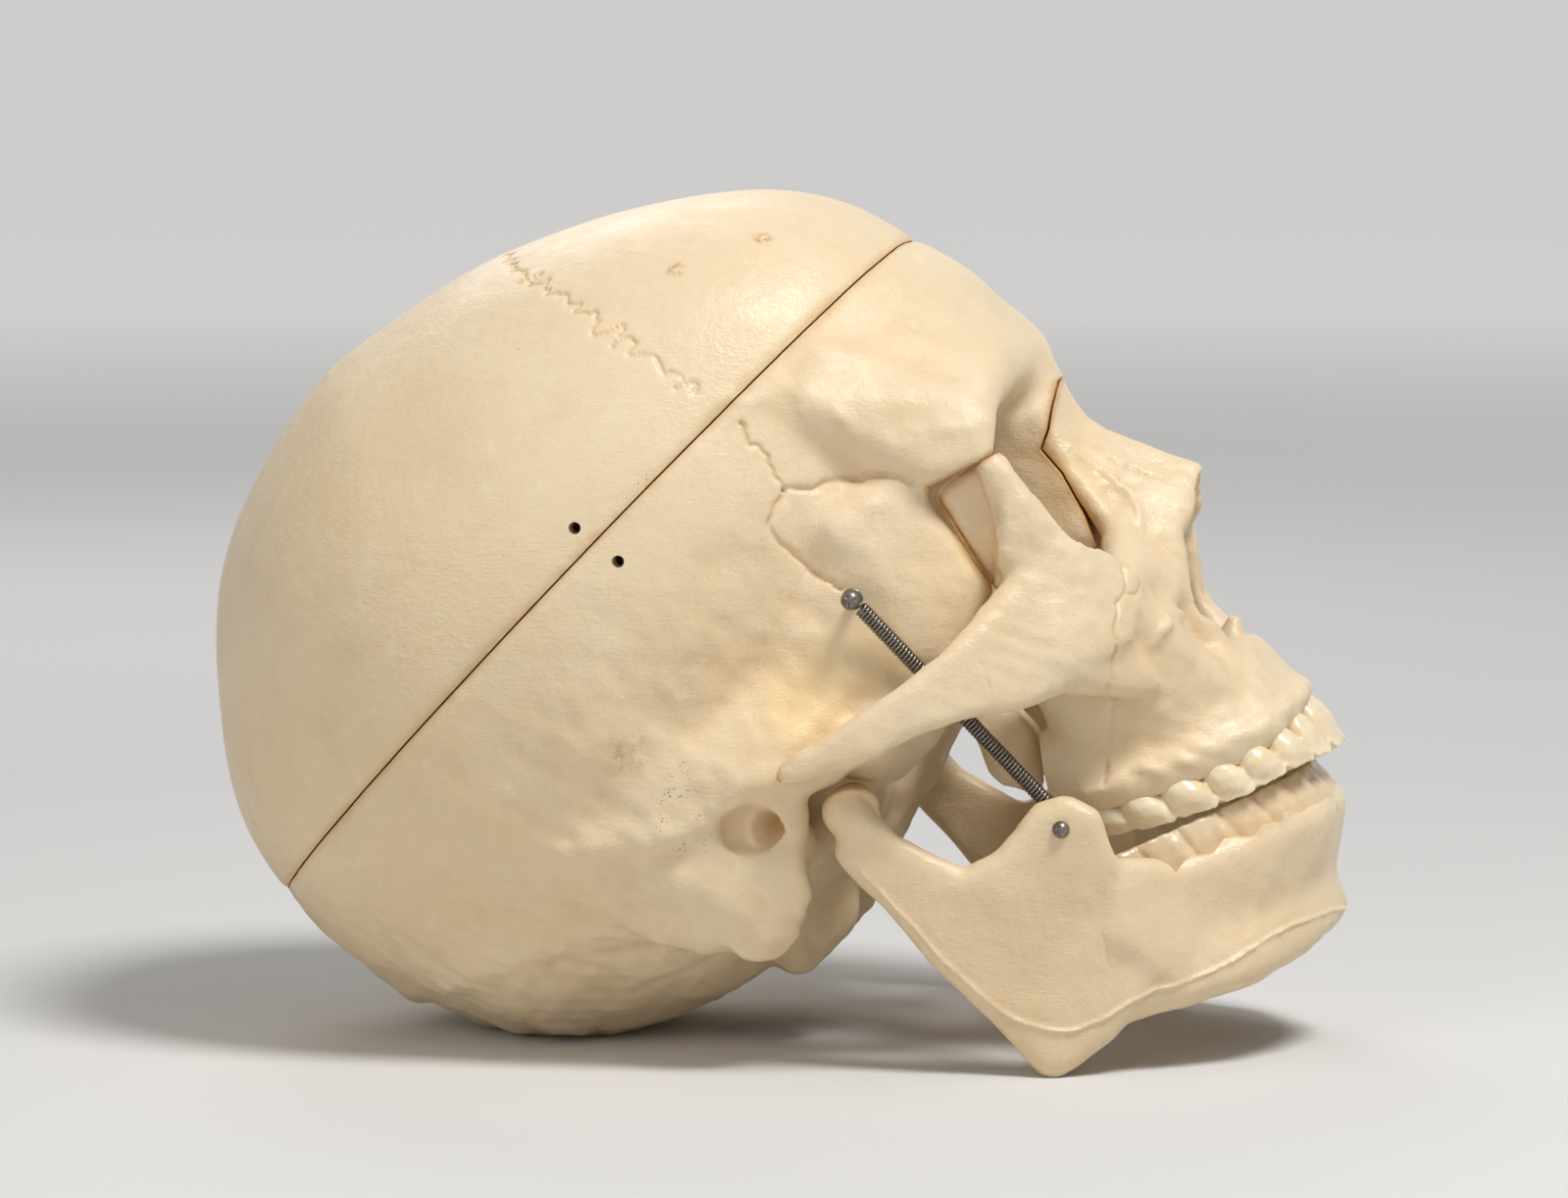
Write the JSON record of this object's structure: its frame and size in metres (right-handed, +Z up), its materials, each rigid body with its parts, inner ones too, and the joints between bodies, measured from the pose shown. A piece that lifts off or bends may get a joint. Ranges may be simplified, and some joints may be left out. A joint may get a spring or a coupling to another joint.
{
  "type": "anatomical skull model",
  "caption": "Life-size plastic teaching skull with a sawn lift-off cap, cheek arches, rows of teeth and a lower jaw hung on coil springs.",
  "frame": {"origin": "middle of the footprint on the surface that the skull stands on", "axes": "+X towards the face, +Y to the skull's own left, +Z up, with the skull leaning back by 40 degrees as it rests on the back of the head and both angles of the jaw"},
  "size_m": [0.2176, 0.1348, 0.1624],
  "materials": {
    "cap": "semi-gloss moulded PVC",
    "base": "semi-gloss moulded PVC",
    "face": "semi-gloss moulded PVC",
    "upper_teeth": "glossy moulded PVC",
    "jaw": "semi-gloss moulded PVC",
    "lower_teeth": "glossy, slightly clear moulded PVC",
    "spring_right": "plain steel wire",
    "spring_left": "plain steel wire",
    "temple_right": "plain steel",
    "temple_left": "plain steel",
    "coronoid_right": "plain steel",
    "coronoid_left": "plain steel",
    "peg_right": "dark moulded plastic",
    "peg_left": "dark moulded plastic"
  },
  "bodies": {
    "skull": {"cranial_base": "base", "face_block": "face", "upper_teeth": "upper_teeth", "cap_peg_right": "peg_right", "cap_peg_left": "peg_left", "temple_screw_right": "temple_right", "temple_screw_left": "temple_left", "jaw_spring_right": "spring_right", "jaw_spring_left": "spring_left"},
    "cap": {"skull_cap": "cap"},
    "jaw": {"mandible": "jaw", "lower_teeth": "lower_teeth", "coronoid_screw_right": "coronoid_right", "coronoid_screw_left": "coronoid_left"}
  },
  "joints": [
    {"name": "jaw_open", "type": "hinge", "parent": "skull", "child": "jaw", "pos_m": [0.01986, 0, 0.04951], "axis": [0, 1, 0], "range_deg": [0, 25], "stiffness_Nm_per_rad": 0.25, "springref_deg": -20.05, "deforming": ["jaw_spring_right", "jaw_spring_left"]},
    {"name": "cap_lift", "type": "slide", "parent": "skull", "child": "cap", "axis": [-0.7272, 0, 0.6864], "range_m": [0, 0.12]}
  ]
}
